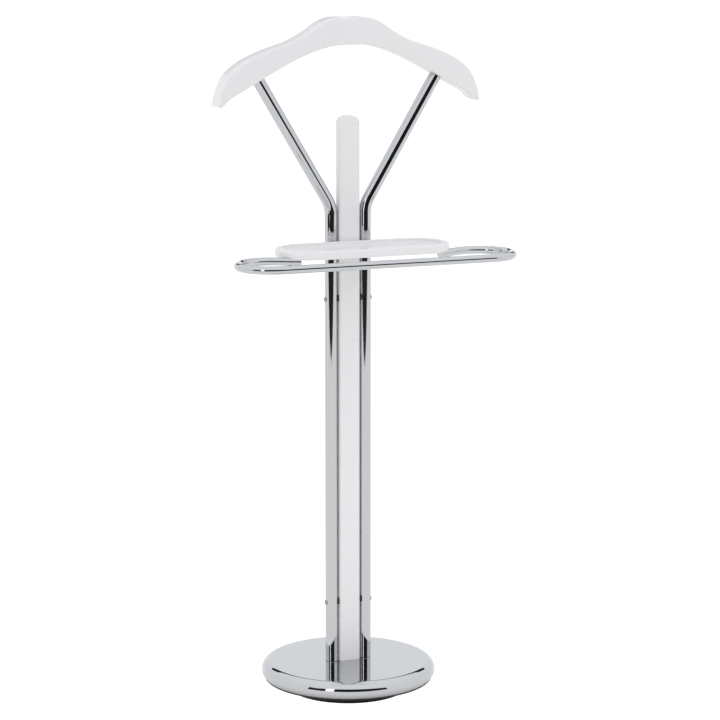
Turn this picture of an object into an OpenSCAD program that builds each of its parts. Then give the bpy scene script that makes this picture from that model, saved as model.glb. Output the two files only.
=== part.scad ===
// Valet stand: a weighted chrome base, two chrome tubes either side of a white
// lacquered board, a small tray with a trouser rail, and a wooden jacket hanger.
// Units are millimetres. +Z is up, +X runs along the hanger and -Y is the front.
// The origin is on the floor, on the axis of the base.

/* [Overall] */
// Height of the hanger's top above the floor
total_h = 1087; // [1020:1:1150]
// Height of the bend in the two tubes
bend_z = 791; // [770:1:820]
// Lean of the upper arms from the vertical, in degrees
arm_lean = 31; // [29:0.5:33]

/* [Base] */
// Diameter of the chrome base at its widest
base_d = 283; // [270:1:300]
// Height of the base's flat top above the floor
base_top = 46; // [42:1:52]
// Radius of the base's rolled rim
rim_r = 15; // [13:0.5:17]
// Diameter of the black foot under the base
foot_d = 196; // [180:1:210]
// Height of the black foot
foot_h = 17.6; // [14:0.2:18]

/* [Column] */
// Outer diameter of the two chrome tubes
tube_d = 20; // [19:0.5:20]
// Wall of the two chrome tubes
tube_wall = 1.5; // [1:0.1:2]
// Distance between the tubes' centre lines
tube_gap = 58; // [58:0.5:62]
// Width of the white board between the tubes
board_w = 36; // [34:0.5:36]
// Thickness of the board, front to back
board_t = 17; // [15:0.5:18]
// Height of the board's top above the floor
board_top = 934; // [900:1:950]

/* [Tray] */
// Length of the tray
tray_l = 287; // [280:1:300]
// Depth of the tray, front to back
tray_w = 105; // [100:1:110]
// Thickness of the tray
tray_t = 14; // [13:0.5:18]
// Height of the tray's upper face above the floor
tray_top = 736; // [710:1:745]
// Depth of the recess in the tray
recess_h = 5.5; // [4:0.5:6]
// Width of the rim round the recess
rim_w = 12; // [11:0.5:14]

/* [Trouser rail] */
// Outer diameter of the rail's tube
rail_d = 12.7; // [11:0.1:14]
// Wall of the rail's tube
rail_wall = 1.2; // [0.8:0.1:1.5]
// Centre line radius of the rail's end loops
loop_r = 49.5; // [48:0.5:52]
// Distance from the middle to the centre of each end loop
loop_x = 176; // [170:1:184]
// Distance from the column's axis forward to the rail's front bar
rail_out = 173; // [168:1:178]

/* [Hanger] */
// Thickness of the hanger, front to back
hanger_t = 38; // [34:0.5:42]
// Radius on the hanger's edges
hanger_edge = 3.6; // [3:0.1:3.6]

/* [Hidden] */

chrome = "#cfd4da";
white = "#eceef1";
black = "#1d1d1f";
steel = "#8f949a";
brass = "#c9a557";
beech = "#d9b98a";

e = 0.01;
far = 400;

// Base
base_r = base_d / 2;
shell_t = 1.5;
shell_bottom = foot_h + 3;
rim_x = base_r - rim_r;
rim_z = base_top - rim_r;
plate_r = base_r - 5;
plate_t = shell_bottom - foot_h;
lip_in = plate_r - 4;
weight_r = base_r - 19;
weight_z = shell_bottom;
weight_h = base_top - shell_t - weight_z;
plate_screw_at = foot_d / 2 + 13;
foot_screw_at = 62;
foot_wall = 3;

// Column
tube_r = tube_d / 2;
tube_x = tube_gap / 2;
bore_r = tube_r - tube_wall;
bend_r = 50;
bend_in = bend_r * tan(arm_lean / 2);
bend_lap = 1;
bend_proud = 0.1;
side_screw_z = [144.5, 642];
side_head_r = 4.75;
side_head_in = 0.5;
side_head_h = 1.9;
plug_h = 30;
m8 = 4;
m6 = 3;
m5 = 2.5;
board_bolt_x = 9;

// Hanger, as an outline through these points from the middle of the top to the middle below.
// The heights are measured down from the hanger's top.
hanger_pts = [[0, 0], [27, 0], [48, 7], [72, 22.5], [100, 36.5], [130, 46], [158, 56.5],
              [182, 69], [202, 85.5], [214.2, 107.5], [218.2, 119.6], [219.7, 128.4],
              [219.8, 132.9], [216.7, 135.1], [211.2, 132.6], [201.4, 123.1], [180, 111],
              [145, 91.5], [104, 70], [62, 52.6], [28, 44.2], [0, 43]];
tip_corner = [218.5, 134];
steps_per_span = 4;
edge_steps = 3;

// Where each arm goes into the hanger, as lengths along the arm from the bend's corner
arm_to_hanger = 234.6;
socket_in = 15;
arm_end = arm_to_hanger + socket_in;
top_plug_l = 24;
stud_in_wood = 16;

// Tray and trouser rail
tray_back = -tube_r;
tray_end_r = tray_w / 2;
tray_end_x = tray_l / 2 - tray_end_r;
tray_mid_y = tray_back - tray_end_r;
tray_bottom = tray_top - tray_t;
tray_edge = 4;
recess_r = 2.5;
groove_in = 3.9;
groove_gap = 0.05;
rail_r = rail_d / 2;
rail_z = tray_bottom + groove_in - rail_r;
rail_y = -rail_out;
loop_y = rail_y + loop_r;
loop_turn = 28;
tail_l = 40;
tail_screw_at = [24, 35];
tray_screw_x = 12;
tray_screw_z = tray_bottom + 4.2;

// ---------- small shapes ----------

// A round bar from z = 0 upward
module bar(r, h) {
    cylinder(r = r, h = h, $fn = 48);
}

// Copies the children to both sides, as mirror images
module both_sides() {
    children();
    mirror([1, 0, 0])
        children();
}

// Points +Z along the arm on the right and starts at the bend's corner
module along_arm(at = 0) {
    translate([tube_x, 0, bend_z])
        rotate([0, arm_lean, 0])
            translate([0, 0, at])
                children();
}

// Hexagon-headed bolt, its shank upward from z = 0 and its head below
module hex_bolt(r, shank, head_af, head_h) {
    bar(r, shank);
    translate([0, 0, -head_h])
        cylinder(d = head_af / cos(30), h = head_h, $fn = 6);
}

// Cross recess for a screwdriver, cut down from z = 0
module cross_recess(width, depth) {
    for (a = [0, 90])
        rotate([0, 0, a])
            translate([-width / 2, -width / 9, -depth])
                cube([width, width / 4.5, depth + 1]);
}

// Pan head screw: the head sits on z = 0 and the shank goes down
module pan_screw(r, shank, head_r, head_h) {
    translate([0, 0, -shank])
        bar(r, shank + e);
    difference() {
        intersection() {
            bar(head_r, head_h);
            translate([0, 0, head_h - 2 * head_r])
                sphere(r = 2 * head_r, $fn = 64);
        }
        translate([0, 0, head_h])
            cross_recess(head_r * 1.1, head_h * 0.6);
    }
}

// Countersunk screw: the flat head's top is at z = 0 and the shank goes down
module countersunk_screw(r, shank, head_r) {
    head_h = head_r - r;
    difference() {
        union() {
            translate([0, 0, -shank])
                bar(r, shank - head_h + e);
            translate([0, 0, -head_h])
                cylinder(r1 = r, r2 = head_r, h = head_h, $fn = 48);
        }
        cross_recess(head_r * 1.1, head_h * 0.6);
    }
}

// Room for a countersunk head and its shank, flaring on past the surface at z = 0
module countersunk_hole(r, depth, head_r) {
    past = 2;
    rotate_extrude($fn = 48)
        polygon([[0, -depth], [r, -depth], [r, r - head_r], [head_r + past, past], [0, past]]);
}

// Room for an oval head and its shank, with straight sides above the head's rim at z = 0
module sunk_head_hole(r, depth, head_r) {
    past = 3;
    rotate_extrude($fn = 48)
        polygon([[0, -depth], [r, -depth], [r, r - head_r], [head_r, 0], [head_r, past], [0, past]]);
}

// Places the children at n equal angles round the base's axis
module ring_of(n, radius, start = 0) {
    for (i = [0:n - 1])
        rotate([0, 0, start + i * 360 / n])
            translate([radius, 0, 0])
                children();
}

// ---------- base ----------

// Half outline of the dish at a given distance inside its outer face
module dish_half(inset) {
    square([rim_x, base_top - inset]);
    translate([rim_x, rim_z])
        circle(r = rim_r - inset, $fn = 96);
}

module base_shell() {
    color(chrome)
        difference() {
            rotate_extrude($fn = 180) {
                difference() {
                    intersection() {
                        dish_half(0);
                        translate([0, shell_bottom])
                            square([far, far]);
                    }
                    dish_half(shell_t);
                }
                // turned-in lip that stands on the underplate
                translate([lip_in, shell_bottom])
                    square([rim_x + sqrt(pow(rim_r, 2) - pow(rim_z - shell_bottom, 2)) - lip_in - 0.2,
                            shell_t]);
            }
            base_bolt_holes(base_top - 2 * shell_t, 3 * shell_t);
        }
}

// The four holes up through the base for the tubes' and the board's bolts
module base_bolt_holes(z, h) {
    translate([0, 0, z])
        both_sides() {
            translate([tube_x, 0, 0])
                bar(m8, h);
            translate([board_bolt_x, 0, 0])
                bar(m6, h);
        }
}

bolt_seat = base_top - shell_t - 9;

module base_weight() {
    color(steel)
        difference() {
            translate([0, 0, weight_z])
                cylinder(r = weight_r, h = weight_h, $fn = 180);
            base_bolt_holes(weight_z - 1, weight_h + 2);
            // wells for the bolt heads and their washers
            translate([0, 0, weight_z - 1])
                both_sides() {
                    translate([tube_x, 0, 0])
                        bar(9.5, bolt_seat - weight_z + 1);
                    translate([board_bolt_x, 0, 0])
                        bar(7.5, bolt_seat - weight_z + 1);
                }
            ring_of(4, plate_screw_at, 45)
                translate([0, 0, weight_z - 1])
                    bar(m5, 11);
            ring_of(3, foot_screw_at, 90)
                translate([0, 0, weight_z - 1])
                    bar(m5, 11);
        }
}

module base_plate() {
    color(black)
        translate([0, 0, foot_h])
            difference() {
                cylinder(r = plate_r, h = plate_t, $fn = 180);
                // open middle, for reaching the bolts
                translate([0, 0, -1])
                    cylinder(r = 45, h = plate_t + 2, $fn = 96);
                ring_of(4, plate_screw_at, 45)
                    translate([0, 0, -1])
                        bar(m5, plate_t + 2);
                ring_of(3, foot_screw_at, 90)
                    translate([0, 0, -1])
                        bar(m5, plate_t + 2);
            }
}

module plate_screws() {
    color(steel)
        ring_of(4, plate_screw_at, 45)
            translate([0, 0, foot_h])
                mirror([0, 0, 1])
                    pan_screw(m5, plate_t + 9, 5, 3);
}

module foot_cup() {
    color(black)
        difference() {
            union() {
                difference() {
                    rotate_extrude($fn = 180)
                        foot_half();
                    translate([0, 0, foot_wall])
                        cylinder(r = foot_d / 2 - foot_wall, h = foot_h, $fn = 180);
                }
                ring_of(3, foot_screw_at, 90)
                    bar(9, foot_h);
            }
            ring_of(3, foot_screw_at, 90) {
                translate([0, 0, -1])
                    bar(m5, foot_h + 2);
                translate([0, 0, -1])
                    bar(6, 6);
            }
        }
}

// Half outline of the foot, with a rounded lower edge
module foot_half() {
    edge = 2;
    square([foot_d / 2 - edge, foot_h]);
    translate([0, edge])
        square([foot_d / 2, foot_h - edge]);
    translate([foot_d / 2 - edge, edge])
        circle(r = edge, $fn = 48);
}

module foot_screws() {
    color(steel)
        ring_of(3, foot_screw_at, 90)
            translate([0, 0, 5])
                mirror([0, 0, 1])
                    pan_screw(m5, foot_h - 5 + plate_t + 9, 5, 3);
}

washer_t = 1.6;

module tube_bolts() {
    color(steel)
        both_sides()
            translate([tube_x, 0, bolt_seat - washer_t])
                hex_bolt(m8, 9 + shell_t + washer_t + 24, 13, 5.3);
}

module board_bolts() {
    color(steel)
        both_sides()
            translate([board_bolt_x, 0, bolt_seat - washer_t])
                hex_bolt(m6, 9 + shell_t + washer_t + 24, 10, 4);
}

module bolt_washers() {
    color(steel)
        translate([0, 0, bolt_seat - washer_t])
            both_sides() {
                translate([tube_x, 0, 0])
                    washer(8, m8);
                translate([board_bolt_x, 0, 0])
                    washer(6.2, m6);
            }
}

module washer(r, hole_r) {
    difference() {
        bar(r, washer_t);
        translate([0, 0, -1])
            bar(hole_r, washer_t + 2);
    }
}

// ---------- tubes ----------

module tube_foot_plugs() {
    color(steel)
        both_sides()
            translate([tube_x, 0, base_top])
                difference() {
                    bar(bore_r, plug_h);
                    translate([0, 0, -1])
                        bar(m8, plug_h + 2);
                }
}

// Section of a round tube
module ring(r, wall) {
    difference() {
        circle(r = r, $fn = 96);
        circle(r = r - wall, $fn = 96);
    }
}

// Section of a bend, whose skins stand just proud so that it joins its straights as one piece
module bend_ring(r, wall) {
    ring(r + bend_proud, wall + 2 * bend_proud);
}

module column_tube() {
    difference() {
        union() {
            translate([tube_x, 0, base_top])
                linear_extrude(height = bend_z - bend_in - base_top)
                    ring(tube_r, tube_wall);
            translate([tube_x + bend_r, 0, bend_z - bend_in])
                rotate([90, 0, 0])
                    rotate([0, 0, 180 - arm_lean - bend_lap])
                        rotate_extrude(angle = arm_lean + 2 * bend_lap, $fn = 180)
                            translate([bend_r, 0])
                                bend_ring(tube_r, tube_wall);
            along_arm(bend_in)
                linear_extrude(height = arm_end - bend_in)
                    ring(tube_r, tube_wall);
        }
        for (z = side_screw_z)
            translate([tube_x + tube_r - side_head_in, 0, z])
                rotate([0, 90, 0])
                    sunk_head_hole(m5, 2 * tube_d, side_head_r);
    }
}

module right_tube() {
    color(chrome)
        column_tube();
}

module left_tube() {
    color(chrome)
        mirror([1, 0, 0])
            column_tube();
}

module tube_top_plugs() {
    color(steel)
        both_sides()
            along_arm(arm_end - top_plug_l)
                difference() {
                    bar(bore_r, top_plug_l);
                    translate([0, 0, -1])
                        bar(m6, top_plug_l + 2);
                }
}

// ---------- screws between the tubes and the board ----------

// One side's screws, pointing inward, their heads sunk into the right tube's outer wall
module side_screw_pair() {
    for (z = side_screw_z)
        translate([tube_x + tube_r - side_head_in, 0, z])
            rotate([0, 90, 0])
                oval_screw(m5, 32 - side_head_in, side_head_r);
}

// Oval head screw: the rim of its head is at z = 0, with a cone below and a low dome above
module oval_screw(r, shank, head_r) {
    pan_screw(r, shank, head_r, side_head_h);
    translate([0, 0, r - head_r])
        cylinder(r1 = r, r2 = head_r, h = head_r - r + e, $fn = 48);
}

module left_side_screws() {
    color(steel)
        mirror([1, 0, 0])
            side_screw_pair();
}

module right_side_screws() {
    color(steel)
        side_screw_pair();
}

spacer_h = 9;
spacer_up = 1.5;
spacer_w = 14;

// Black saddles that fill the gap between each tube and the board's edge
module side_spacers() {
    color(black)
        both_sides()
            for (z = side_screw_z)
                difference() {
                    translate([board_w / 2, -spacer_w / 2, z + spacer_up - spacer_h / 2])
                        cube([tube_x - board_w / 2, spacer_w, spacer_h]);
                    translate([tube_x, 0, z - spacer_h])
                        cylinder(r = tube_r, h = 2 * spacer_h, $fn = 96);
                    translate([0, 0, z])
                        rotate([0, 90, 0])
                            bar(m5, tube_x);
                }
}

// ---------- board ----------

board_edge = 4;
board_corner = 7;
board_crown = 24;
insert_l = 12;
insert_r = 4;
foot_insert_l = 25;
foot_insert_r = 4.5;

// Rectangle with rounded corners, centred on the origin
module round_rect(w, h, r) {
    square([w - 2 * r, h], center = true);
    square([w, h - 2 * r], center = true);
    for (x = [-1, 1], y = [-1, 1])
        translate([x * (w / 2 - r), y * (h / 2 - r)])
            circle(r = r, $fn = 64);
}

// Front outline of the board: an arched top that runs smoothly into smaller rounded corners
module board_front() {
    crown_z = board_top - base_top - board_crown;
    corner_x = board_w / 2 - board_corner;
    corner_up = sqrt(pow(board_crown - board_corner, 2) - pow(corner_x, 2));
    translate([-board_w / 2, 0])
        square([board_w, crown_z + corner_up]);
    for (x = [-1, 1])
        translate([x * corner_x, crown_z + corner_up])
            circle(r = board_corner, $fn = 96);
    translate([0, crown_z])
        intersection() {
            circle(r = board_crown, $fn = 180);
            // wedge between the two places where the arcs meet
            polygon([[0, 0], [2 * corner_x, 2 * corner_up], [0, 3 * board_crown],
                     [-2 * corner_x, 2 * corner_up]]);
        }
}

// Side outline of the board, its upper edges rounded
module board_side() {
    h = board_top - base_top;
    translate([-board_t / 2, 0])
        square([board_t, h - board_edge]);
    translate([-board_t / 2 + board_edge, 0])
        square([board_t - 2 * board_edge, h]);
    for (x = [-1, 1])
        translate([x * (board_t / 2 - board_edge), h - board_edge])
            circle(r = board_edge, $fn = 64);
}

module center_board() {
    color(white)
        difference() {
            translate([0, 0, base_top])
                intersection() {
                    linear_extrude(height = board_top)
                        round_rect(board_w, board_t, board_edge);
                    rotate([90, 0, 0])
                        linear_extrude(height = 2 * board_t, center = true)
                            board_front();
                    rotate([90, 0, 90])
                        linear_extrude(height = 2 * board_w, center = true)
                            board_side();
                }
            both_sides()
                for (z = side_screw_z)
                    translate([board_w / 2 - insert_l, 0, z])
                        rotate([0, 90, 0])
                            bar(insert_r, insert_l + 1);
            both_sides()
                translate([board_bolt_x, 0, base_top - 1])
                    bar(foot_insert_r, foot_insert_l + 1);
            tray_screw_places(board_t / 2)
                countersunk_hole(m6 - 0.75, 2 * board_t, m6 + 1.5);
            dowel_hole();
        }
}

// Places the children on the tray screws' axes at y, with +Z pointing backward
module tray_screw_places(y) {
    both_sides()
        translate([tray_screw_x, y, tray_screw_z])
            rotate([-90, 0, 0])
                children();
}

module board_side_inserts() {
    color(brass)
        both_sides()
            for (z = side_screw_z)
                translate([board_w / 2 - insert_l, 0, z])
                    rotate([0, 90, 0])
                        difference() {
                            bar(insert_r, insert_l);
                            translate([0, 0, -1])
                                bar(m5, insert_l + 2);
                        }
}

module board_foot_inserts() {
    color(brass)
        both_sides()
            translate([board_bolt_x, 0, base_top])
                difference() {
                    bar(foot_insert_r, foot_insert_l);
                    translate([0, 0, -1])
                        bar(m6, foot_insert_l + 2);
                }
}

// ---------- tray ----------

dowel_r = 2.5;
dowel_l = 30;
dowel_in_board = 10;

// The dowel's axis runs forward from inside the board
module dowel_bar() {
    translate([0, -board_t / 2 + dowel_in_board, tray_screw_z])
        rotate([90, 0, 0])
            bar(dowel_r, dowel_l);
}

module dowel_hole() {
    dowel_bar();
}

// Half section of the tray, from its middle outward
module tray_half() {
    r = tray_end_r;
    difference() {
        union() {
            square([r - tray_edge, tray_t]);
            translate([0, tray_edge])
                square([r, tray_t - 2 * tray_edge]);
            for (z = [tray_edge, tray_t - tray_edge])
                translate([r - tray_edge, z])
                    circle(r = tray_edge, $fn = 64);
        }
        recess_half(r - rim_w);
    }
}

// Half section of the recess, with a rounded inner corner
module recess_half(r) {
    floor_z = tray_t - recess_h;
    translate([-1, floor_z])
        square([r - recess_r + 1, recess_h + 1]);
    translate([-1, floor_z + recess_r])
        square([r + 1, recess_h + 1]);
    translate([r - recess_r, floor_z + recess_r])
        circle(r = recess_r, $fn = 48);
}

module tray_body() {
    rotate([90, 0, 90])
        linear_extrude(height = 2 * tray_end_x, center = true) {
            tray_half();
            mirror([1, 0])
                tray_half();
        }
    both_sides()
        translate([tray_end_x, 0, 0])
            rotate([0, 0, -90])
                rotate_extrude(angle = 180, $fn = 180)
                    intersection() {
                        tray_half();
                        square([far, far]);
                    }
}

module tray() {
    color(white)
        difference() {
            translate([0, tray_mid_y, tray_bottom])
                tray_body();
            // grooves that the rail's two tails lie in
            both_sides() {
                on_tail(0)
                    bar(rail_r + groove_gap, tail_l + 3);
                rail_loop()
                    circle(r = rail_r + 2 * groove_gap, $fn = 96);
            }
            rail_screw_places(0)
                bar(m5 - 0.5, rail_screw_l);
            tray_screw_places(tray_back)
                translate([0, 0, -24])
                    bar(m6 - 0.75, 25);
            dowel_hole();
        }
}

module tray_packer() {
    color(black)
        difference() {
            translate([-board_w / 2 + 2, tray_back, tray_bottom + 1.5])
                cube([board_w - 4, tube_r - board_t / 2, 7]);
            tray_screw_places(0)
                translate([0, 0, -board_t])
                    bar(m6 - 0.75, 2 * board_t);
            dowel_hole();
        }
}

module tray_screws() {
    color(steel)
        tray_screw_places(board_t / 2)
            countersunk_screw(m6 - 0.75, board_t / 2 + tube_r + 23, m6 + 1.5);
}

module tray_dowel() {
    color(beech)
        dowel_bar();
}

// ---------- trouser rail ----------

// Sweeps a section, drawn round the origin, through the loop at the rail's right end
module rail_loop() {
    translate([loop_x, loop_y, rail_z])
        rotate([0, 0, -90 - bend_lap])
            rotate_extrude(angle = 180 + loop_turn + 2 * bend_lap, $fn = 180)
                translate([loop_r, 0])
                    children();
}

// Places the children on the right tail, at a length along it, with +Z pointing inward along it
module on_tail(at) {
    translate([loop_x, loop_y, rail_z])
        rotate([0, 0, 90 + loop_turn])
            translate([loop_r, at, 0])
                rotate([-90, 0, 0])
                    children();
}

rail_screw_l = rail_d + 6;

// Places the children at the rail's screws, with +Z pointing up from the tube's lower side
module rail_screw_places(drop) {
    both_sides()
        for (at = tail_screw_at)
            on_tail(at)
                rotate([90, 0, 0])
                    translate([0, 0, -rail_r - drop])
                        children();
}

module trouser_rail() {
    color(chrome)
        difference() {
            union() {
                translate([-loop_x, rail_y, rail_z])
                    rotate([0, 90, 0])
                        linear_extrude(height = 2 * loop_x)
                            ring(rail_r, rail_wall);
                both_sides() {
                    rail_loop()
                        bend_ring(rail_r, rail_wall);
                    on_tail(0)
                        linear_extrude(height = tail_l)
                            ring(rail_r, rail_wall);
                }
            }
            rail_screw_places(1)
                bar(m5 - 0.5, rail_screw_l);
        }
}

module rail_end_plugs() {
    color(chrome)
        both_sides() {
            on_tail(tail_l)
                cylinder(r = rail_r, h = 1.5, $fn = 96);
            on_tail(tail_l - 3)
                cylinder(r = rail_r - rail_wall, h = 3 + e, $fn = 96);
        }
}

module rail_screws() {
    color(steel)
        rail_screw_places(0)
            mirror([0, 0, 1])
                pan_screw(m5 - 0.5, rail_screw_l, 3.6, 2.4);
}

// ---------- hanger ----------

function knot(t, a, b) = t + sqrt(norm(b - a));

function blend(t, ta, tb, a, b) = (a * (tb - t) + b * (t - ta)) / (tb - ta);

// Point at fraction u of the span from b to c of a smooth curve through a, b, c and d
function curve_point(a, b, c, d, u) =
    let (t1 = knot(0, a, b))
    let (t2 = knot(t1, b, c))
    let (t3 = knot(t2, c, d))
    let (t = t1 + u * (t2 - t1))
    let (ab = blend(t, 0, t1, a, b))
    let (bc = blend(t, t1, t2, b, c))
    let (cd = blend(t, t2, t3, c, d))
    blend(t, t1, t2, blend(t, 0, t2, ab, bc), blend(t, t1, t3, bc, cd));

function flip(p) = [-p.x, p.y];

// The right half's points with one mirrored neighbour at each end
hanger_knots = concat([flip(hanger_pts[1])], hanger_pts, [flip(hanger_pts[len(hanger_pts) - 2])]);

right_half = [for (i = [1:len(hanger_pts) - 1], s = [0:steps_per_span - 1])
    curve_point(hanger_knots[i - 1], hanger_knots[i], hanger_knots[i + 1], hanger_knots[i + 2],
                s / steps_per_span)];

// The closed outline, clockwise from the middle of the top as seen from the front
hanger_line = concat(right_half, [hanger_pts[len(hanger_pts) - 1]],
                     [for (i = [len(right_half) - 1:-1:1]) flip(right_half[i])]);

function outward(line, i) =
    let (n = len(line))
    let (d = line[(i + 1) % n] - line[(i + n - 1) % n])
    [d.y, d.x] / norm(d);

// Radius of the rolled edge, which is smaller round the tips' lower corners
function edge_at(p) = min(hanger_edge, 1.2 + 0.35 * norm([abs(p.x), p.y] - tip_corner));

// Sinking and inset of each layer of the rolled edge, as parts of its radius, and its side
edge_rounds = [for (s = [0:edge_steps])
    let (a = 90 * s / edge_steps)
    [1 - cos(a), 1 - sin(a)]];

hanger_layers = concat([for (s = edge_rounds) [s[0], s[1], -1]],
                       [for (i = [edge_steps:-1:0]) [edge_rounds[i][0], edge_rounds[i][1], 1]]);

module hanger_solid() {
    n = len(hanger_line);
    points = [for (layer = hanger_layers, i = [0:n - 1])
        let (out = outward(hanger_line, i))
        let (edge = edge_at(hanger_line[i]))
        [hanger_line[i].x - edge * layer[1] * out.x,
         layer[2] * (hanger_t / 2 - edge * layer[0]),
         total_h - hanger_line[i].y - edge * layer[1] * out.y]];
    sides = [for (k = [0:len(hanger_layers) - 2], i = [0:n - 1])
        [k * n + i, (k + 1) * n + i, (k + 1) * n + (i + 1) % n, k * n + (i + 1) % n]];
    front = [[for (i = [0:n - 1]) i]];
    back = [[for (i = [n - 1:-1:0]) (len(hanger_layers) - 1) * n + i]];
    polyhedron(points, concat(sides, front, back));
}

module hanger() {
    color(white)
        difference() {
            hanger_solid();
            both_sides() {
                along_arm(arm_to_hanger - 20)
                    cylinder(r = tube_r, h = socket_in + 20, $fn = 96);
                along_arm(arm_end - 1)
                    bar(m6, stud_in_wood + 1);
            }
        }
}

// Studs that run from the tubes' top plugs into the hanger's wood
module hanger_studs() {
    color(steel)
        both_sides()
            along_arm(arm_end - top_plug_l)
                bar(m6, top_plug_l + stud_in_wood);
}

base_shell();
base_weight();
base_plate();
plate_screws();
foot_cup();
foot_screws();
tube_bolts();
board_bolts();
bolt_washers();
tube_foot_plugs();
left_tube();
right_tube();
left_side_screws();
right_side_screws();
side_spacers();
center_board();
board_side_inserts();
board_foot_inserts();
tray();
tray_packer();
tray_screws();
tray_dowel();
trouser_rail();
rail_end_plugs();
rail_screws();
hanger();
tube_top_plugs();
hanger_studs();
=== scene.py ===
# %% [markdown]
# # A valet stand, built piece by piece
#
# This notebook dresses a measured frame of a valet stand. The frame gives the place and the size of
# every piece. The large pieces that show are built again with finer meshes, because chrome and
# lacquer show every flat facet in their reflections. The small fasteners and the pieces hidden
# inside the stand stay as they are and only get their own finish.

import math

import bmesh
import bpy
from mathutils import Matrix, Vector


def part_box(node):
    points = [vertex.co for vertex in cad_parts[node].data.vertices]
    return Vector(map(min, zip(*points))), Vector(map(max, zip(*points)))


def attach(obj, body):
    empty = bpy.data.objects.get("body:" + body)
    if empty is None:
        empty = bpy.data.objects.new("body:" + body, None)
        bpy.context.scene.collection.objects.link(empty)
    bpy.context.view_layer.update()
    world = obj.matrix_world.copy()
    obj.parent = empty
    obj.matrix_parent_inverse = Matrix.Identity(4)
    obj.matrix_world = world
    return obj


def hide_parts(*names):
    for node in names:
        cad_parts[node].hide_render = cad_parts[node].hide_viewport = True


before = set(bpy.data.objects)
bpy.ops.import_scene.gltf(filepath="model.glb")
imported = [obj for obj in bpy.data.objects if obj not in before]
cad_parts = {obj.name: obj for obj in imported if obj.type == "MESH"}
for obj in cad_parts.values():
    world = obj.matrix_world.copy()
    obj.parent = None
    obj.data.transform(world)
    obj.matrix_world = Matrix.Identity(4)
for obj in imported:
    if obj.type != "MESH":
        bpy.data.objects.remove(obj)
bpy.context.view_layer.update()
MM = 0.001
print("nodes in the frame:", len(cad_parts))


# %% [markdown]
# ## Colours and nodes
#
# Colours are written as the hex values that a paint chart or a screen shows. The renderer works in
# linear light, so one function turns a hex value to linear. A material is a tree of nodes, and one
# small function adds a node, sets its inputs and returns it. An input is named with underscores for
# its spaces, or by its number, as in _0. Its value can be another node's output, which then becomes
# a link.

# %% Hex to linear
def linear(hex_colour):
    channels = [int(hex_colour[i:i + 2], 16) / 255 for i in (1, 3, 5)]
    curved = [c / 12.92 if c <= 0.04045 else ((c + 0.055) / 1.055) ** 2.4 for c in channels]
    return (*curved, 1.0)


print("mid grey #808080 is", round(linear("#808080")[0], 3), "in linear light")


# %% One function that adds a node
def add(tree, kind, settings=None, **inputs):
    node = tree.nodes.new(kind)
    for name, value in (settings or {}).items():
        setattr(node, name, value)
    for name, value in inputs.items():
        socket = node.inputs[int(name[1:])] if name[0] == "_" else node.inputs[name.replace("_", " ")]
        if isinstance(value, bpy.types.NodeSocket):
            tree.links.new(value, socket)
        else:
            socket.default_value = value
    return node


def new_material(name):
    material = bpy.data.materials.new(name)
    material.use_nodes = True
    material.node_tree.nodes.clear()
    return material, material.node_tree


def finish_material(material, shader):
    tree = material.node_tree
    add(tree, "ShaderNodeOutputMaterial", Surface=shader.outputs[0])
    print("material:", material.name, "with", len(tree.nodes), "nodes")
    return material


# %% [markdown]
# ## Chrome plate
#
# The base, the tubes and the trouser rail are steel, polished and then plated with nickel and
# chromium. Chromium is a neutral metal that is darker than silver: it gives back a little over half
# of the light. Plating copies the surface under it, so it shows very fine polishing lines and a
# faint waviness, and fingers leave patches that are a little less sharp. Those three are drawn as
# a fine noise in the roughness and a very weak bump.

# %% Chrome, bright plating over polished steel
CHROMIUM = "#C6C7C9"
POLISH_LINES_MM = 1.2
POLISH_LINES_SHARE = 0.25
SMEAR_MM = 35.0
WAVE_MM = 60.0


def make_chrome(name, colour, roughness, wave):
    material, tree = new_material(name)
    place = add(tree, "ShaderNodeTexCoord").outputs["Object"]
    smears = add(tree, "ShaderNodeTexNoise", Vector=place, Scale=1 / (SMEAR_MM * MM), Detail=4.0)
    lines = add(tree, "ShaderNodeTexNoise", Vector=place, Scale=1 / (POLISH_LINES_MM * MM), Detail=2.0)
    mixed = add(tree, "ShaderNodeMath", {"operation": "MULTIPLY_ADD"},
                _0=lines.outputs["Fac"], _1=POLISH_LINES_SHARE, _2=smears.outputs["Fac"])
    rough = add(tree, "ShaderNodeMapRange", Value=mixed.outputs[0], From_Min=0.35, From_Max=0.95,
                To_Min=roughness * 0.7, To_Max=roughness * 1.5)
    waves = add(tree, "ShaderNodeTexNoise", Vector=place, Scale=1 / (WAVE_MM * MM), Detail=1.0)
    bump = add(tree, "ShaderNodeBump", Height=waves.outputs["Fac"], Strength=wave, Distance=1 * MM)
    shader = add(tree, "ShaderNodeBsdfPrincipled", Base_Color=linear(colour), Metallic=1.0,
                 Roughness=rough.outputs["Result"], Normal=bump.outputs["Normal"])
    return finish_material(material, shader)


# Bright plate on the large pieces, duller plate on the screw heads, and plain zinc on the fasteners
chrome = make_chrome("polished_chrome_plate", CHROMIUM, roughness=0.045, wave=0.05)
screw_chrome = make_chrome("chromed_screw_steel", "#A4A7AB", roughness=0.16, wave=0.0)
zinc = make_chrome("zinc_plated_steel", "#A9ACB0", roughness=0.25, wave=0.0)


# %% [markdown]
# ## White lacquer
#
# The hanger, the board and the tray are wood under several coats of white lacquer. Sprayed lacquer
# is smooth but never quite flat: it dries with a very fine orange peel, and it stays soft in its
# shine. A coat on the shader gives the weak clear reflection on top of the white.

# %% Lacquer, white and satin, sprayed on wood
LACQUER_WHITE = "#E9E8E8"
ORANGE_PEEL_MM = 1.6
CLOUD_MM = 90.0


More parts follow.
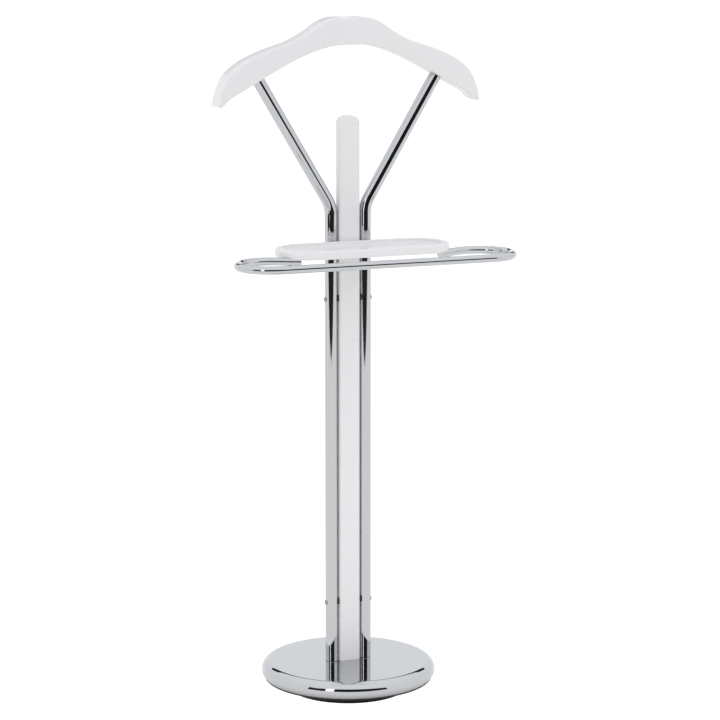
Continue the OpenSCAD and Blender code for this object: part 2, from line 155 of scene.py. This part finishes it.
def make_lacquer(name, colour):
    material, tree = new_material(name)
    place = add(tree, "ShaderNodeTexCoord").outputs["Object"]
    peel = add(tree, "ShaderNodeTexNoise", Vector=place, Scale=1 / (ORANGE_PEEL_MM * MM), Detail=2.0)
    cloud = add(tree, "ShaderNodeTexNoise", Vector=place, Scale=1 / (CLOUD_MM * MM), Detail=3.0)
    rough = add(tree, "ShaderNodeMapRange", Value=cloud.outputs["Fac"], From_Min=0.3, From_Max=0.7,
                To_Min=0.26, To_Max=0.34)
    bump = add(tree, "ShaderNodeBump", Height=peel.outputs["Fac"], Strength=0.12, Distance=0.05 * MM)
    shader = add(tree, "ShaderNodeBsdfPrincipled", Base_Color=linear(colour), IOR=1.5,
                 Roughness=rough.outputs["Result"], Normal=bump.outputs["Normal"])
    shader.inputs["Specular IOR Level"].default_value = 0.3
    shader.inputs["Coat Weight"].default_value = 0.1
    shader.inputs["Coat Roughness"].default_value = 0.12
    return finish_material(material, shader)


lacquer = make_lacquer("white_satin_lacquer", LACQUER_WHITE)


# %% [markdown]
# ## Black parts, and the metals inside
#
# The foot and the small saddles are moulded in black plastic with a fine matt texture. The plate
# under the base is pressed steel in black paint. The castings, inserts and dowel are hidden, but
# each still gets the finish of its own material.

# %% Moulded plastic, painted steel and the hidden materials
GRAIN_DARKER = 0.12
GRAIN_DEPTH = 0.2 * MM


def make_grained(name, colour, roughness, grain_mm, strength, metallic=0.0):
    material, tree = new_material(name)
    place = add(tree, "ShaderNodeTexCoord").outputs["Object"]
    grain = add(tree, "ShaderNodeTexNoise", Vector=place, Scale=1 / (grain_mm * MM), Detail=3.0)
    base = linear(colour)
    dark = (*[c * (1 - GRAIN_DARKER) for c in base[:3]], 1.0)
    shade = add(tree, "ShaderNodeMix", {"data_type": "RGBA"}, _0=grain.outputs["Fac"], _6=dark, _7=base)
    bump = add(tree, "ShaderNodeBump", Height=grain.outputs["Fac"], Strength=strength, Distance=GRAIN_DEPTH)
    shader = add(tree, "ShaderNodeBsdfPrincipled", Base_Color=shade.outputs[2], Metallic=metallic,
                 Roughness=roughness, Normal=bump.outputs["Normal"])
    return finish_material(material, shader)


black_plastic = make_grained("black_moulded_plastic", "#1B1B1D", 0.5, 0.8, 0.3)
black_steel = make_grained("black_painted_steel", "#151517", 0.35, 2.0, 0.15)
cast_iron = make_grained("raw_cast_iron", "#4A4A4C", 0.75, 1.5, 0.6, metallic=1.0)
brass = make_grained("turned_brass", "#C8A860", 0.25, 0.6, 0.1, metallic=1.0)
beech = make_grained("raw_beech_dowel", "#D6B48A", 0.6, 2.5, 0.2)


# %% [markdown]
# ## Mesh helpers
#
# A mesh is a list of points and a list of faces. Three builders cover most of this stand. A lathe
# turns a half section round an upright axis. A sweep carries a circle along a path, which makes
# tubes. A plate takes a closed outline, gives it a thickness and rolls its edges over, which makes
# the wooden pieces.

# %% From points and faces to a piece that rides on the frame
WELD = 0.001 * MM
SHARP = math.radians(35)


def clean_mesh(name, points, faces, smooth=False):
    mesh = bpy.data.meshes.new(name)
    mesh.from_pydata([tuple(p) for p in points], [], faces)
    work = bmesh.new()
    work.from_mesh(mesh)
    bmesh.ops.remove_doubles(work, verts=work.verts, dist=WELD)
    bmesh.ops.recalc_face_normals(work, faces=work.faces)
    for face in work.faces:
        face.smooth = smooth
    work.to_mesh(mesh)
    work.free()
    return mesh


def into_scene(name, data):
    thing = bpy.data.objects.new(name, data)
    bpy.context.scene.collection.objects.link(thing)
    return thing


def piece(name, points, faces, material, slot, stands_for):
    mesh = clean_mesh(name, points, faces, smooth=True)
    mesh.set_sharp_from_angle(angle=SHARP)
    mesh.materials.append(material)
    thing = into_scene(name, mesh)
    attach(thing, "root")
    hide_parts(*stands_for)
    print(f"{name}: {len(mesh.vertices)} points, {len(mesh.polygons)} faces")
    return thing


# %% Faces between rings of points: a band joins two rings, and caps close the first and the last
def band(one, other, n):
    return [(one + i, one + (i + 1) % n, other + (i + 1) % n, other + i) for i in range(n)]


def caps(n, total):
    return [tuple(range(n)), tuple(range(total - n, total))]


def turned_faces(turns, n):
    faces = []
    for i in range(turns):
        j = (i + 1) % turns
        faces += [(i * n + k, j * n + k, j * n + k + 1, i * n + k + 1) for k in range(n - 1)]
    return faces


print("a square bar has", len(band(0, 4, 4) + caps(4, 8)), "faces")


# %% Arcs, lathes and sweeps
def arc(centre, radius, start, end, steps):
    turn = [math.radians(start + (end - start) * i / steps) for i in range(steps + 1)]
    return [(centre[0] + radius * math.cos(a), centre[1] + radius * math.sin(a)) for a in turn]


def lathe(section, steps):
    points = []
    for i in range(steps):
        a = 2 * math.pi * i / steps
        points += [Vector((r * math.cos(a), r * math.sin(a), z)) for r, z in section]
    return points, turned_faces(steps, len(section))


def sweep(path, radius, sides):
    points, faces = [], []
    across = (path[1] - path[0]).orthogonal()
    for i, p in enumerate(path):
        ahead = (path[min(i + 1, len(path) - 1)] - path[max(i - 1, 0)]).normalized()
        across = (across - ahead * across.dot(ahead)).normalized()
        other = ahead.cross(across)
        for k in range(sides):
            a = 2 * math.pi * k / sides
            points.append(p + (across * math.cos(a) + other * math.sin(a)) * radius)
    for i in range(len(path) - 1):
        faces += band(i * sides, (i + 1) * sides, sides)
    return points, faces + caps(sides, len(points))


def ease_first_end(points, path, sides, cut):
    for k in range(sides):
        points[k] += (path[0] - points[k]).normalized() * cut


# %% A plate with rolled edges, from its front outline
def outward(line, i):
    before, after = Vector(line[i - 1]), Vector(line[(i + 1) % len(line)])
    along = (after - before).normalized()
    return Vector((-along.y, along.x))


def rolled_plate(line, thickness, edges, steps=8):
    quarter = [math.radians(90 * s / steps) for s in range(steps + 1)]
    rounds = [(1 - math.cos(a), 1 - math.sin(a)) for a in quarter]
    layers = [(-1, *r) for r in rounds] + [(1, *r) for r in rounds[::-1]]
    points, faces = [], []
    for side, sink, inset in layers:
        for i, (p, edge) in enumerate(zip(line, edges)):
            away = outward(line, i) * edge * inset
            points.append(Vector((p[0] - away.x, side * (thickness / 2 - edge * sink), p[1] - away.y)))
    n = len(line)
    for k in range(len(layers) - 1):
        faces += band(k * n, (k + 1) * n, n)
    return points, faces + caps(n, len(points))


print("helpers ready")


# %% [markdown]
# ## The base
#
# The dish of the base is pressed from sheet steel and plated. Its top is flat, and the rim is
# rolled down through more than a quarter turn. A section of one flat and one arc is turned on the
# lathe, with many steps in the arc, so that the long reflections in the rim stay smooth.

# %% Turn the chrome dish
low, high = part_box("base_shell")
RIM_R = 15 * MM
RIM_LIP = 3 * MM
base_r = high.x
base_top = high.z
rim_x, rim_z = base_r - RIM_R, base_top - RIM_R
under = -math.degrees(math.asin((rim_z - low.z) / RIM_R))
rim = arc((rim_x, rim_z), RIM_R, 90, under, 40)
flat = [(rim_x * k / 6, base_top) for k in range(6)]
section = flat + rim + [(rim_x + RIM_LIP, low.z)]
piece("chrome_dish", *lathe(section, 320), chrome, "chrome_plate", ["base_shell"])

# %% Turn the black foot, and the plate under the dish
low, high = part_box("foot_cup")
FOOT_EDGE = 2 * MM
foot_r, foot_h = high.x, high.z
foot_line = [(0, 0)] + arc((foot_r - FOOT_EDGE, FOOT_EDGE), FOOT_EDGE, -90, 0, 8) + [(foot_r, foot_h)]
piece("moulded_foot", *lathe(foot_line, 192), black_plastic, "black_plastic", ["foot_cup"])

low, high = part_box("base_plate")
PLATE_EDGE = 0.6 * MM
plate_r = high.x
plate_inner = foot_r - 4 * MM
plate_line = [(plate_inner, low.z)]
plate_line += arc((plate_r - PLATE_EDGE, low.z + PLATE_EDGE), PLATE_EDGE, -90, 0, 5)
plate_line += [(plate_r, high.z), (plate_inner, high.z)]
piece("painted_underplate", *lathe(plate_line, 256), black_steel, "black_steel", ["base_plate"])


# %% [markdown]
# ## The two tubes
#
# Each tube is one length of steel tube, bent once. A real bend is an arc that meets both straights
# without a kink, so the path is a straight, an arc and a straight, worked out from the lean of the
# arm. The ends of the path come from the frame's box: the foot stands on the base, and the other
# end stops inside the hanger. The cut edge at the foot is eased, as a cut tube is before plating.

# %% Sweep the column tubes
low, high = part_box("right_tube")
TUBE_R = 10 * MM
BEND_R = 50 * MM
ARM_LEAN = math.radians(31)
FOOT_CHAMFER = 0.9 * MM
TUBE_SIDES = 96
tube_x = low.x + TUBE_R
foot_z = low.z
arm_tip = Vector((high.x - TUBE_R * math.cos(ARM_LEAN), 0, high.z - TUBE_R * math.sin(ARM_LEAN)))
corner_z = arm_tip.z - (arm_tip.x - tube_x) / math.tan(ARM_LEAN)
tangent = BEND_R * math.tan(ARM_LEAN / 2)


def tube_path(side):
    bend = arc((tube_x + BEND_R, corner_z - tangent), BEND_R, 180, 180 - math.degrees(ARM_LEAN), 24)
    flat = [(tube_x, foot_z), (tube_x, foot_z + FOOT_CHAMFER)] + bend + [(arm_tip.x, arm_tip.z)]
    return [Vector((side * x, 0, z)) for x, z in flat]


for name, side in (("left_tube", -1), ("right_tube", 1)):
    path = tube_path(side)
    points, faces = sweep(path, TUBE_R, TUBE_SIDES)
    ease_first_end(points, path, TUBE_SIDES, FOOT_CHAMFER)
    piece("chromed_" + name, points, faces, chrome, "chrome_plate", [name])
print("bend corner at", round(corner_z, 4), "m")


# %% [markdown]
# ## The trouser rail
#
# The rail is a thinner tube with a loop at each end. The front bar is straight, each loop is a
# little more than a half circle, and each tail runs back under the tray, where it is screwed fast.

# %% Sweep the rail
low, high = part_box("trouser_rail")
RAIL_R = 6.35 * MM
LOOP_R = 49.5 * MM
LOOP_TURN = 28
TAIL_L = 40 * MM
rail_z = low.z + RAIL_R
front_y = low.y + RAIL_R
loop_x = high.x - RAIL_R - LOOP_R
loop_y = front_y + LOOP_R


def rail_half(side):
    bend = arc((loop_x, loop_y), LOOP_R, -90, 90 + LOOP_TURN, 72)
    turn = math.radians(90 + LOOP_TURN)
    tail = (bend[-1][0] - math.sin(turn) * TAIL_L, bend[-1][1] + math.cos(turn) * TAIL_L)
    return [Vector((side * x, y, rail_z)) for x, y in bend + [tail]]


rail_path = rail_half(-1)[::-1] + rail_half(1)
piece("chromed_trouser_rail", *sweep(rail_path, RAIL_R, 72), chrome, "chrome_plate", ["trouser_rail"])


# %% [markdown]
# ## The board
#
# The board is planed wood with its long edges rounded over and an arched top. It is drawn as
# a plate with rolled edges. A few points down each straight side keep its faces short. The outline
# runs on past the foot, and a cut there leaves the square end that stands on the base.

# %% Shape the board
low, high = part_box("center_board")
BOARD_EDGE = 4 * MM
BOARD_CORNER = 7 * MM
BOARD_CROWN = 24 * MM
SIDE_STEP = 100 * MM


def board_outline(half_w, top, bottom):
    corner_x = half_w - BOARD_CORNER
    corner_up = math.sqrt((BOARD_CROWN - BOARD_CORNER) ** 2 - corner_x ** 2)
    lean = math.degrees(math.atan2(corner_x, corner_up))
    crown = arc((0, top - BOARD_CROWN), BOARD_CROWN, 90, 90 - lean, 12)
    corner = arc((corner_x, top - BOARD_CROWN + corner_up), BOARD_CORNER, 90 - lean, 0, 10)
    side = [(half_w, top - SIDE_STEP * k) for k in range(1, 9)] + [(half_w, bottom)]
    right = crown[1:] + corner[1:] + side
    return [(0, top)] + right + [(-x, z) for x, z in right[::-1]]


def cut_off_below(mesh, z):
    work = bmesh.new()
    work.from_mesh(mesh)
    whole = work.verts[:] + work.edges[:] + work.faces[:]
    cut = bmesh.ops.bisect_plane(work, geom=whole, plane_co=(0, 0, z), plane_no=(0, 0, -1),
                                 clear_outer=True)
    rim = [part for part in cut["geom_cut"] if isinstance(part, bmesh.types.BMEdge)]
    bmesh.ops.holes_fill(work, edges=rim)
    work.to_mesh(mesh)
    work.free()
    mesh.set_sharp_from_angle(angle=SHARP)


line = board_outline(high.x, high.z, low.z - 4 * BOARD_EDGE)
points, faces = rolled_plate(line, high.y - low.y, [BOARD_EDGE] * len(line))
board = piece("lacquered_board", points, faces, lacquer, "white_lacquer", ["center_board"])
cut_off_below(board.data, low.z)


# %% [markdown]
# ## The tray
#
# The tray has round ends and a shallow recess for keys and cuff links. Its section is the same all
# the way round, so it is carried round the two end centres like a stretched lathe: a half turn
# round one centre, a half turn round the other, and the straights join them.

# %% Carry the tray's section round
low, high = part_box("tray")
TRAY_EDGE = 4 * MM
RECESS_H = 5.5 * MM
RECESS_R = 2.5 * MM
LIP_EDGE = 1.2 * MM
RIM_W = 12 * MM
tray_r = (high.y - low.y) / 2
tray_x = high.x - tray_r
tray_y = (high.y + low.y) / 2
inner_r = tray_r - RIM_W
floor_z = high.z - RECESS_H
tray_line = [(0, low.z), (tray_r * 0.5, low.z)]
tray_line += arc((tray_r - TRAY_EDGE, low.z + TRAY_EDGE), TRAY_EDGE, -90, 0, 10)
tray_line += arc((tray_r - TRAY_EDGE, high.z - TRAY_EDGE), TRAY_EDGE, 0, 90, 10)
tray_line += arc((inner_r + LIP_EDGE, high.z - LIP_EDGE), LIP_EDGE, 90, 180, 6)
tray_line += arc((inner_r - RECESS_R, floor_z + RECESS_R), RECESS_R, 0, -90, 8)
tray_line += [(inner_r * 0.5, floor_z), (0, floor_z)]


def stadium(section, centre_x, centre_y, steps=96):
    points = []
    turns = 2 * steps + 2
    for i in range(turns):
        right = i <= steps
        a = math.pi * (i - (0 if right else 1)) / steps - math.pi / 2
        cx = centre_x if right else -centre_x
        points += [Vector((cx + r * math.cos(a), centre_y + r * math.sin(a), z)) for r, z in section]
    return points, turned_faces(turns, len(section))


piece("lacquered_tray", *stadium(tray_line, tray_x, tray_y), lacquer, "white_lacquer", ["tray"])


# %% [markdown]
# ## The hanger
#
# A shaped jacket hanger is sawn from thick wood and its edges are rolled over. Its outline is a
# smooth curve through a few points: the raised middle, the dip of each shoulder, and the blunt
# tips. The roll gets tighter at the lower corner of each tip. The curve is a Catmull-Rom spline
# with spacing by the root of distance, which passes through every point and does not bulge where
# points are close together. The points are in millimetres, across and down from the top's middle.

# %% Draw the outline and roll the edges
low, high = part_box("hanger")
HANGER_EDGE = 3.6 * MM
TIP_EDGE = 1.2 * MM
EDGE_GROWTH = 0.35
HANGER_POINTS = [(0, 0), (27, 0), (48, 7), (72, 22.5), (100, 36.5), (130, 46), (158, 56.5), (182, 69),
                 (202, 85.5), (214.2, 107.5), (218.2, 119.6), (219.7, 128.4), (219.8, 132.9),
                 (216.7, 135.1), (211.2, 132.6), (201.4, 123.1), (180, 111), (145, 91.5),
                 (104, 70), (62, 52.6), (28, 44.2), (0, 43)]
TIP_CORNER = (218.5, 134)


def between(a, b, c, d, u):
    t1 = math.sqrt((b - a).length)
    t2 = t1 + math.sqrt((c - b).length)
    t3 = t2 + math.sqrt((d - c).length)
    t = t1 + u * (t2 - t1)
    ab = (a * (t1 - t) + b * t) / t1
    bc = (b * (t2 - t) + c * (t - t1)) / (t2 - t1)
    cd = (c * (t3 - t) + d * (t - t2)) / (t3 - t2)
    abc = (ab * (t2 - t) + bc * t) / t2
    bcd = (bc * (t3 - t) + cd * (t - t1)) / (t3 - t1)
    return (abc * (t2 - t) + bcd * (t - t1)) / (t2 - t1)


def hanger_outline(points, top, steps=10):
    knots = [Vector((x * MM, top - down * MM)) for x, down in points]
    knots = [Vector((-knots[1].x, knots[1].y))] + knots + [Vector((-knots[-2].x, knots[-2].y))]
    right = []
    for i in range(1, len(knots) - 2):
        right += [between(*knots[i - 1:i + 3], s / steps) for s in range(steps)]
    left = [Vector((-p.x, p.y)) for p in right[:0:-1]]
    return right + [knots[-2]] + left


def edge_at(p, top):
    to_corner = Vector((abs(p[0]) - TIP_CORNER[0] * MM, top - p[1] - TIP_CORNER[1] * MM)).length
    return min(HANGER_EDGE, TIP_EDGE + EDGE_GROWTH * to_corner)


rise = max(p.y for p in hanger_outline(HANGER_POINTS, 0))
top = high.z - rise
line = hanger_outline(HANGER_POINTS, top)
edges = [edge_at(p, top) for p in line]
piece("lacquered_hanger", *rolled_plate(line, high.y - low.y, edges), lacquer, "white_lacquer", ["hanger"])


# %% [markdown]
# ## Screws and saddles
#
# Two screws on each side draw the tubes against the board, with a small black saddle in each gap.
# A screw head is a domed lathe shape with a cross cut into it. The cross is cut with a boolean
# modifier, which is then applied, so that the piece is a plain mesh again.

# %% One screw head with a cross recess, pointing up
HEAD_R = 4.75 * MM
HEAD_H = 1.9 * MM
HEAD_IN = 0.5 * MM
NECK = 2 * MM
CROSS_DEEP = 1 * MM
CROSS_HIGH = 4 * MM


def cross_cutter(width):
    arm = width / 2
    slot = width / 9
    shape = [(slot, arm), (slot, slot), (arm, slot), (arm, -slot), (slot, -slot), (slot, -arm),
             (-slot, -arm), (-slot, -slot), (-arm, -slot), (-arm, slot), (-slot, slot), (-slot, arm)]
    points = [Vector((x, y, z)) for z in (-CROSS_DEEP, CROSS_HIGH) for x, y in shape]
    n = len(shape)
    return points, caps(n, 2 * n) + band(0, n, n)


def cut_away(thing, cutter):
    change = thing.modifiers.new("cut", "BOOLEAN")
    change.operation = "DIFFERENCE"
    change.solver = "EXACT"
    change.object = cutter
    seen = bpy.context.evaluated_depsgraph_get()
    mesh = bpy.data.meshes.new_from_object(thing.evaluated_get(seen))
    points = [v.co.copy() for v in mesh.vertices]
    faces = [tuple(p.vertices) for p in mesh.polygons]
    bpy.data.objects.remove(thing)
    bpy.data.objects.remove(cutter)
    return points, faces


def screw_shape():
    dome_r = 2 * HEAD_R
    dome = arc((0, HEAD_H - dome_r), dome_r, 90, 90 - math.degrees(math.asin(HEAD_R / dome_r)), 10)
    section = dome + [(HEAD_R, 0), (HEAD_R - NECK, -NECK), (0, -NECK)]
    head = into_scene("head", clean_mesh("head", *lathe(section, 64)))
    cross = into_scene("cross", clean_mesh("cross", *cross_cutter(1.1 * HEAD_R)))
    cross.location.z = HEAD_H
    bpy.context.view_layer.update()
    return cut_away(head, cross)


screw_points, screw_faces = screw_shape()
print("screw head:", len(screw_points), "points")

# %% Place the side screws, each stopped at an angle of its own
FIRST_SPIN = math.radians(20)
NEXT_SPIN = math.radians(35)


def gather(parts):
    points, faces = [], []
    for some, their_faces in parts:
        faces += [tuple(i + len(points) for i in face) for face in their_faces]
        points += some
    return points, faces


def placed_screw(side, k, z):
    place = Matrix.Translation((side * (tube_x + TUBE_R - HEAD_IN), 0, z))
    tip_over = Matrix.Rotation(side * math.pi / 2, 4, "Y")
    spin = Matrix.Rotation(FIRST_SPIN + NEXT_SPIN * k, 4, "Z")
    return [place @ tip_over @ spin @ p for p in screw_points], screw_faces


for node, side in (("left_side_screws", -1), ("right_side_screws", 1)):
    low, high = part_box(node)
    heights = (low.z + HEAD_R, high.z - HEAD_R)
    points, faces = gather(placed_screw(side, k, z) for k, z in enumerate(heights))
    piece("chromed_" + node, points, faces, screw_chrome, "chrome_screw", [node])

# %% Fill each gap between tube and board with a saddle, flat on one side and hollow on the other
low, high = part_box("side_spacers")
board_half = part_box("center_board")[1].x
SADDLE_H = 9 * MM
saddle_y = high.y


def saddle(side, z, steps=16):
    reach = math.asin(saddle_y / TUBE_R)
    points = []
    for zz in (z - SADDLE_H / 2, z + SADDLE_H / 2):
        points += [Vector((side * board_half, saddle_y, zz)), Vector((side * board_half, -saddle_y, zz))]
        for i in range(steps + 1):
            a = -reach + 2 * reach * i / steps
            points.append(Vector((side * (tube_x - TUBE_R * math.cos(a)), TUBE_R * math.sin(a), zz)))
    n = steps + 3
    return points, caps(n, 2 * n) + band(0, n, n)


heights = (low.z + SADDLE_H / 2, high.z - SADDLE_H / 2)
points, faces = gather(saddle(side, z) for side in (-1, 1) for z in heights)
piece("moulded_saddles", points, faces, black_plastic, "black_plastic", ["side_spacers"])


# %% [markdown]
# ## Pieces that keep their frame shape
#
# The fasteners underneath and behind, and the pieces sealed inside, are already the right shape in
# the frame. Each one only needs its material put into its slot.

# %% Give each kept piece its finish
KEPT = {
    "base_weight": cast_iron, "plate_screws": zinc, "foot_screws": zinc, "tube_bolts": zinc,
    "board_bolts": zinc, "bolt_washers": zinc, "tube_foot_plugs": zinc, "board_side_inserts": brass,
    "board_foot_inserts": brass, "tray_packer": black_plastic, "tray_screws": zinc,
    "tray_dowel": beech, "rail_end_plugs": chrome, "rail_screws": zinc,
    "tube_top_plugs": zinc, "hanger_studs": zinc,
}
for node, finish in KEPT.items():
    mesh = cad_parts[node].data
    mesh.materials.clear()
    mesh.materials.append(finish)
print("kept pieces:", len(KEPT))


# %% [markdown]
# ## The studio
#
# Chrome has no colour of its own: it shows the room. So the room matters as much as the metal. The
# stand is on a white paper floor that ends a few metres in front of it. Past the paper, the floor
# and the walls behind the camera are dark, and one tall strip light stands among them. That makes
# the crisp dark bands in the tubes, with a thin bright line in them. High behind the stand, a dark
# panel makes the fine dark line where the base's flat top turns over into its rim. The camera
# itself sees none of these, only plain white.

# %% The room is lined up with the camera: "near" is the camera's end of the room, in metres
VIEW_TURN = math.radians(22)
ROOM_HALF = 9.0
PAPER_END = 3.0
ROOM_END = 6.0


def in_room(across, near, z):
    return (across * math.cos(VIEW_TURN) - near * math.sin(VIEW_TURN),
            -across * math.sin(VIEW_TURN) - near * math.cos(VIEW_TURN), z)


print("the far wall is centred on", [round(v, 2) for v in in_room(0, ROOM_END, 0)])

# %% Paint for the room: a matt colour, with a glow of its own where it has to act as a light
# WHITE_OUT is a white just over full, which the camera sees in place of the floor and the sky
WHITE_OUT = 1.2


def room_paint(name, colour, glow, to_camera=None):
    material, tree = new_material(name)
    shader = add(tree, "ShaderNodeBsdfPrincipled", Base_Color=linear(colour), Roughness=0.9)
    shader.inputs["Specular IOR Level"].default_value = 0.0
    shader.inputs["Emission Color"].default_value = linear(colour)
    shader.inputs["Emission Strength"].default_value = glow
    if to_camera is None:
        return finish_material(material, shader)
    plain = add(tree, "ShaderNodeEmission", Color=linear("#FFFFFF"), Strength=to_camera)
    first_look = add(tree, "ShaderNodeLightPath").outputs["Is Camera Ray"]
    both = add(tree, "ShaderNodeMixShader", _0=first_look, _1=shader.outputs[0], _2=plain.outputs[0])
    return finish_material(material, both)


def room_piece(name, points, faces, paint, seen=True):
    mesh = bpy.data.meshes.new(name)
    mesh.from_pydata(points, [], faces)
    mesh.materials.append(paint)
    thing = into_scene(name, mesh)
    thing.visible_camera = seen
    return thing


def room_wall(name, line, low_z, high_z, paint):
    points = [in_room(*p, z) for p in line for z in (low_z, high_z)]
    faces = [(2 * i, 2 * i + 2, 2 * i + 3, 2 * i + 1) for i in range(len(line) - 1)]
    wall = room_piece(name, points, faces, paint, seen=False)
    wall.visible_diffuse = False


def room_floor(name, near, far, paint, seen=True):
    corners = [(-ROOM_HALF, near), (ROOM_HALF, near), (ROOM_HALF, far), (-ROOM_HALF, far)]
    room_piece(name, [in_room(*p, 0) for p in corners], [(0, 1, 2, 3)], paint, seen)


# %% Floors, dark walls, and the tall strip light
paper = room_paint("matt_paper", "#EFEEEC", 0.15, WHITE_OUT)
dark_paint = room_paint("dark_grey_wall_paint", "#2A2A2C", 0.0)
strip_cloth = room_paint("strip_light_cloth", "#FFFFFF", 1.1)
room_floor("white_paper_floor", PAPER_END, -ROOM_HALF, paper)
room_floor("dark_floor_beyond", ROOM_END, PAPER_END, dark_paint, seen=False)
room_wall("dark_end_walls", [(-6, 4.5), (-6, ROOM_END), (7.5, ROOM_END)], 0, 3.5, dark_paint)
room_wall("strip_light", [(-3.15, 5.6), (-1.85, 5.6)], 0, 3.6, strip_cloth)
room_wall("dark_panel_behind", arc((0, 0), 3.2, -124, -56, 10), 1.62, 2.3, dark_paint)
print("the paper ends", PAPER_END, "m in front of the stand")

# %% A white room, faintly blue and a little brighter overhead
world = bpy.data.worlds.new("white_room")
bpy.context.scene.world = world
world.use_nodes = True
sky = world.node_tree
sky.nodes.clear()
way = add(sky, "ShaderNodeTexCoord").outputs["Generated"]
height = add(sky, "ShaderNodeSeparateXYZ", Vector=way).outputs["Z"]
level = add(sky, "ShaderNodeMapRange", Value=height, From_Min=0.3, From_Max=0.9, To_Min=1.03, To_Max=1.12)
room_light = add(sky, "ShaderNodeBackground", Color=linear("#FAFCFF"), Strength=level.outputs["Result"])
plain_white = add(sky, "ShaderNodeBackground", Color=linear("#FFFFFF"), Strength=WHITE_OUT)
first_look = add(sky, "ShaderNodeLightPath").outputs["Is Camera Ray"]
either = add(sky, "ShaderNodeMixShader", _0=first_look, _1=room_light.outputs[0], _2=plain_white.outputs[0])
add(sky, "ShaderNodeOutputWorld", Surface=either.outputs[0])
print("sky nodes:", len(sky.nodes))

# %% One wide soft light from the front, kept out of the chrome
lamp = bpy.data.lights.new("front_softbox", "AREA")
lamp.shape = "RECTANGLE"
lamp.size = 3.0
lamp.size_y = 2.0
lamp.energy = 5
softbox = into_scene("front_softbox", lamp)
softbox.location = in_room(1.0, 4.2, 2.4)
aim = Vector((0, 0, 0.6)) - softbox.location
softbox.rotation_euler = aim.to_track_quat("-Z", "Y").to_euler()
softbox.visible_glossy = False
scene = bpy.context.scene
scene.view_settings.view_transform = "Standard"
scene.view_settings.look = "None"
print("studio ready")

# %% [markdown]
# ## The camera
#
# The camera stands about four metres away and a little to the left, just above the hanger's
# height, and looks slightly down with a long lens, so the stand stays almost free of perspective.

# %% Place the camera
CAMERA_FAR = 4.033
CAMERA_SIDE = math.radians(21.88)
CAMERA_H = 1.270
CAMERA_TURN = math.radians(22.154)
CAMERA_DOWN = math.radians(10.237)
lens = bpy.data.cameras.new("long_lens")
lens.lens = 127.97
lens.sensor_width = 36
camera = into_scene("camera", lens)
camera.location = (-CAMERA_FAR * math.sin(CAMERA_SIDE), -CAMERA_FAR * math.cos(CAMERA_SIDE), CAMERA_H)
camera.rotation_euler = (math.pi / 2 - CAMERA_DOWN, 0, -CAMERA_TURN)
scene.camera = camera
print("camera at", [round(v, 3) for v in camera.location])
